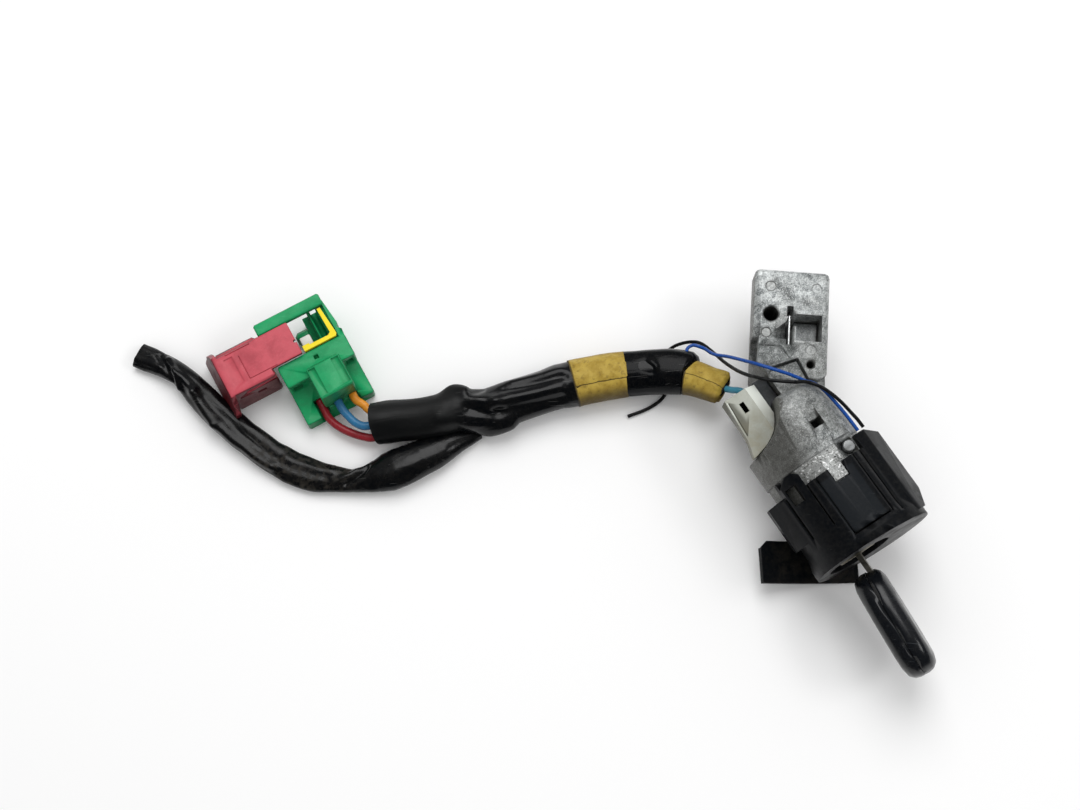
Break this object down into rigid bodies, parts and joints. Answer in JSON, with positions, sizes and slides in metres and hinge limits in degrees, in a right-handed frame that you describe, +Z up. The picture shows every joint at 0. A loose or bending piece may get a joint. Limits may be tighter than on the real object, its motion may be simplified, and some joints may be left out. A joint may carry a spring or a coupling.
{
  "type": "ignition switch",
  "caption": "Steering column ignition lock: cast housing with bracket block, black shroud, key in its cylinder, rear contact block, and a taped cable harness that ends in a locking connector.",
  "frame": {"origin": "centre of the lock's footprint (harness and connector not counted), on the surface it lies on", "axes": "+Z up, out of the bracket face; -Y the way the key is drawn out of the lock; +X to the driver's right"},
  "size_m": [0.295, 0.3327, 0.059],
  "materials": {
    "zinc_casting": "bare die cast, mottled",
    "bright_steel": "plain steel",
    "spring_steel": "spring wire",
    "plug_brass": "machined",
    "wafer_brass": "stamped",
    "contact_copper": "stamped copper alloy",
    "coil_copper": "enamelled copper winding",
    "pale_shell": "moulded, slightly yellowed",
    "dark_tray": "moulded",
    "black_shroud": "moulded, satin",
    "black_plastic": "moulded",
    "key_black": "glossy, scuffed",
    "key_steel": "plated steel",
    "chip_black": "potted",
    "green_plastic": "moulded",
    "red_plastic": "moulded",
    "yellow_plastic": "moulded",
    "white_plastic": "moulded",
    "black_sleeve": "satin vinyl tube",
    "mustard_tape": "cloth tape",
    "wire_red": "insulation",
    "wire_blue": "insulation",
    "wire_orange": "insulation",
    "wire_teal": "insulation",
    "wire_black": "insulation",
    "wire_dark_blue": "insulation"
  },
  "bodies": {
    "lock": {"lock_housing": "zinc_casting", "retaining_pin": "bright_steel", "guide_plate": "bright_steel", "bolt_cover": "bright_steel", "bolt_spring": "spring_steel", "cylinder_sleeve": "zinc_casting", "return_spring": "spring_steel", "switch_housing": "pale_shell", "switch_base": "dark_tray", "shroud": "black_shroud", "antenna_bobbin": "black_plastic", "antenna_coil": "coil_copper", "connector_housing": "green_plastic", "terminal_lock": "yellow_plastic", "terminal_guard": "white_plastic", "harness_sleeve": "black_sleeve", "rear_sleeve": "black_sleeve", "spare_sleeve": "black_sleeve", "tape_band": "mustard_tape", "rear_tape": "mustard_tape", "switch_wire": "wire_teal", "wire_red": "wire_red", "wire_blue": "wire_blue", "wire_orange": "wire_orange", "signal_wire_black": "wire_black", "signal_wire_blue": "wire_dark_blue", "contact_1": "contact_copper", "contact_2": "contact_copper", "contact_3": "contact_copper"},
    "cylinder": {"plug": "plug_brass", "wafer_1": "wafer_brass", "wafer_2": "wafer_brass", "wafer_3": "wafer_brass", "wafer_4": "wafer_brass", "wafer_5": "wafer_brass", "wafer_6": "wafer_brass", "wafer_7": "wafer_brass", "wafer_8": "wafer_brass", "drive_shaft": "bright_steel", "bolt_cam": "zinc_casting", "switch_rotor": "black_plastic"},
    "key": {"key_blade": "key_steel", "key_head_left": "key_black", "key_head_right": "key_black", "key_chip": "chip_black"},
    "bolt": {"lock_bolt": "bright_steel"},
    "slider": {"connector_slider": "red_plastic"}
  },
  "joints": [
    {"name": "cylinder_turn", "type": "hinge", "parent": "lock", "child": "cylinder", "pos_m": [-0.01125, -0.0368, 0.03], "axis": [0, 1, 0], "range_deg": [0, 105]},
    {"name": "key_slide", "type": "slide", "parent": "cylinder", "child": "key", "axis": [0, -1, 0], "range_m": [0, 0.036]},
    {"name": "bolt_slide", "type": "slide", "parent": "lock", "child": "bolt", "axis": [0, 0, 1], "range_m": [0, 0.017], "deforming": ["bolt_spring"]},
    {"name": "connector_slide", "type": "slide", "parent": "lock", "child": "slider", "axis": [0.9976, -0.0698, 0], "range_m": [0, 0.0155]}
  ],
  "couplings": [
    {"joint": "bolt_slide", "follows": "key_slide", "ratio": 0.47222}
  ]
}
